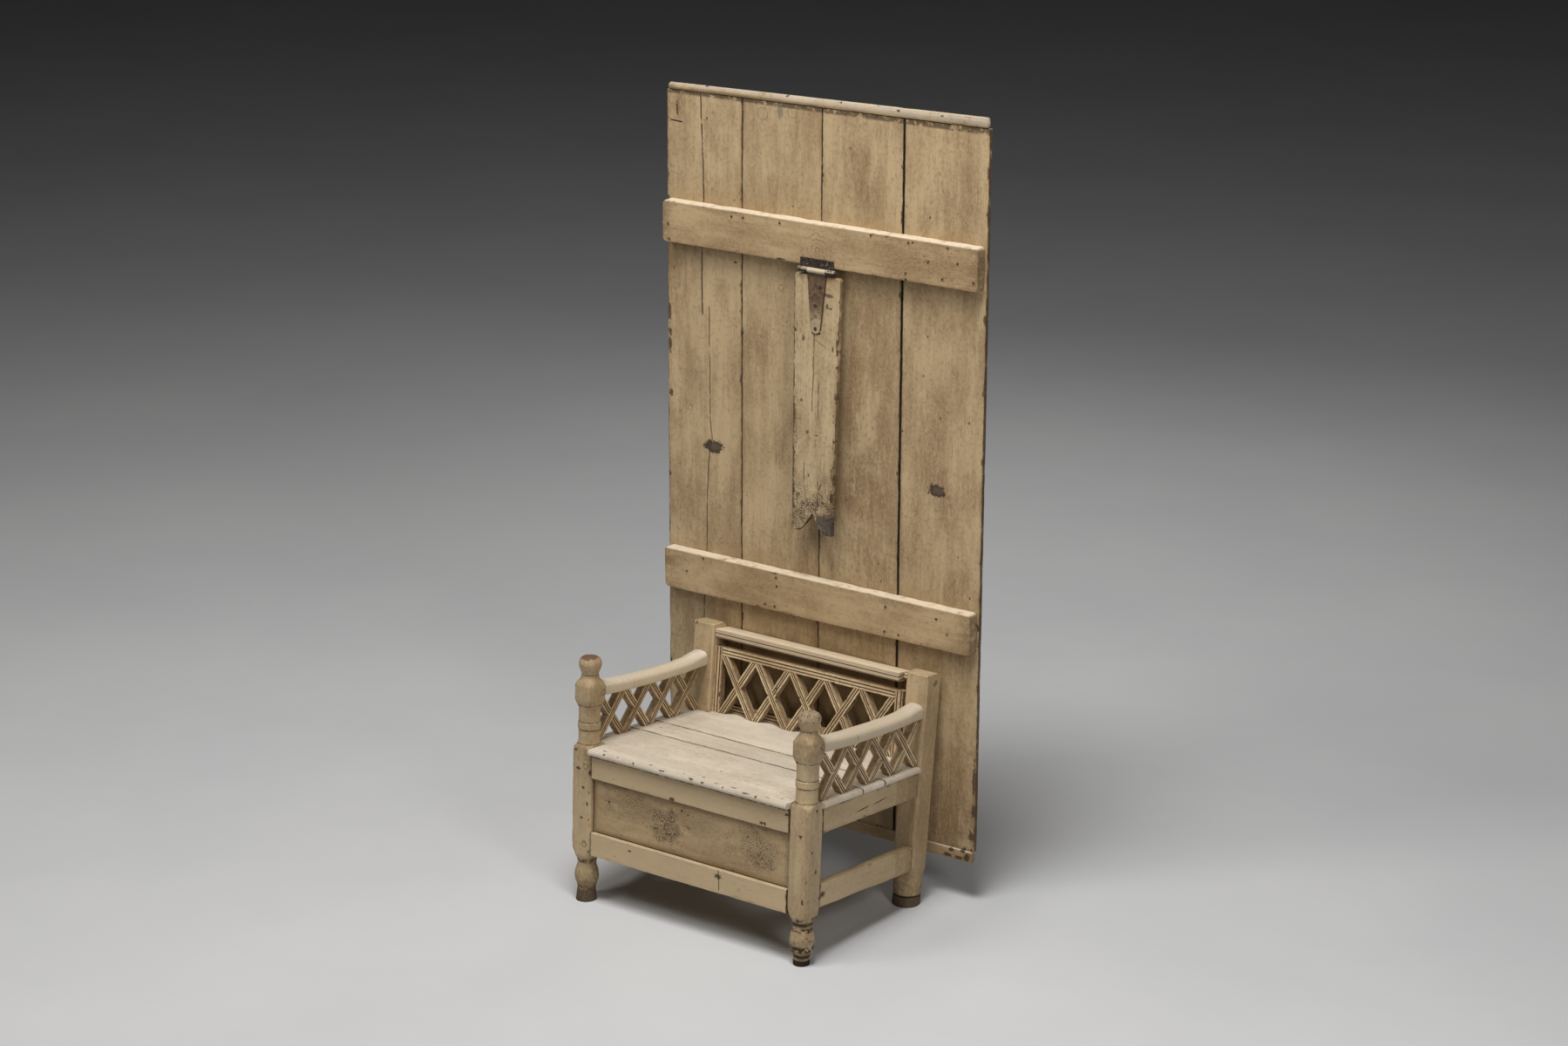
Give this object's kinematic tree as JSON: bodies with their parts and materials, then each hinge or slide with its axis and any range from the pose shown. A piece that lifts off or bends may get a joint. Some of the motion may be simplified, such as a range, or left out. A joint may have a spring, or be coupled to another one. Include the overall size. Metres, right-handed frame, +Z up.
{
  "type": "table settle",
  "caption": "Painted wooden settle with turned posts, lattice back and sides, and a tall board top that tilts down on a pivot rail to make a table, with a hinged prop leg.",
  "frame": {"origin": "middle of the bounding box on the floor, with the top upright", "axes": "+X to the right of someone facing the settle, +Y to its back, +Z up"},
  "size_m": [1.084, 0.673, 2.2513],
  "materials": {
    "frame_paint": "old buff-cream oil paint, rubbed and chipped at the edges",
    "worn_paint": "paler cream paint worn smooth by use",
    "crazed_paint": "cream paint with heavy dark crazing",
    "lattice_paint": "yellowed cream paint with dark lines in the moulding",
    "board_paint": "cream paint streaked brown along the grain",
    "black_iron": "black-brown iron with specks of old paint",
    "rusted_iron": "rust-brown iron under worn cream paint"
  },
  "bodies": {
    "settle": {"arm_left": "worn_paint", "arm_right": "worn_paint", "back_slat_falling_1": "lattice_paint", "back_slat_falling_2": "lattice_paint", "back_slat_falling_3": "lattice_paint", "back_slat_falling_4": "lattice_paint", "back_slat_falling_5": "lattice_paint", "back_slat_rising_1": "lattice_paint", "back_slat_rising_2": "lattice_paint", "back_slat_rising_3": "lattice_paint", "back_slat_rising_4": "lattice_paint", "back_slat_rising_5": "lattice_paint", "front_bottom_rail": "frame_paint", "front_panel": "crazed_paint", "front_post_left": "frame_paint", "front_post_right": "frame_paint", "front_seat_rail": "frame_paint", "lattice_foot_rail": "lattice_paint", "lattice_stile_left": "lattice_paint", "lattice_stile_right": "lattice_paint", "lattice_top_rail": "lattice_paint", "left_slat_falling_1": "lattice_paint", "left_slat_falling_2": "lattice_paint", "left_slat_falling_3": "lattice_paint", "left_slat_falling_4": "lattice_paint", "left_slat_rising_1": "lattice_paint", "left_slat_rising_2": "lattice_paint", "left_slat_rising_3": "lattice_paint", "left_slat_rising_4": "lattice_paint", "rear_post_left": "frame_paint", "rear_post_right": "frame_paint", "rear_seat_rail": "frame_paint", "right_slat_falling_1": "lattice_paint", "right_slat_falling_2": "lattice_paint", "right_slat_falling_3": "lattice_paint", "right_slat_falling_4": "lattice_paint", "right_slat_rising_1": "lattice_paint", "right_slat_rising_2": "lattice_paint", "right_slat_rising_3": "lattice_paint", "right_slat_rising_4": "lattice_paint", "seat_board_front": "worn_paint", "seat_board_middle": "worn_paint", "seat_board_rear": "worn_paint", "side_seat_rail_left": "frame_paint", "side_seat_rail_right": "frame_paint", "side_stretcher_left": "frame_paint", "side_stretcher_right": "frame_paint"},
    "table_top": {"batten_lower": "board_paint", "batten_upper": "board_paint", "end_cleat_bottom": "board_paint", "end_cleat_top": "board_paint", "hinge_leaf": "black_iron", "hinge_pin": "black_iron", "pivot_rail": "board_paint", "table_board_1": "board_paint", "table_board_2": "board_paint", "table_board_3": "board_paint", "table_board_4": "board_paint"},
    "prop_leg_body": {"prop_leg": "board_paint", "hinge_strap": "rusted_iron"}
  },
  "joints": [
    {"name": "top_tilt", "type": "hinge", "parent": "settle", "child": "table_top", "pos_m": [0, 0.2882, 0.6462], "axis": [1, 0, 0], "range_deg": [0, 85.5]},
    {"name": "leg_swing", "type": "hinge", "parent": "table_top", "child": "prop_leg_body", "pos_m": [0.009, 0.2837, 1.77], "axis": [-1, 0, 0], "range_deg": [-2.8, 101]}
  ]
}
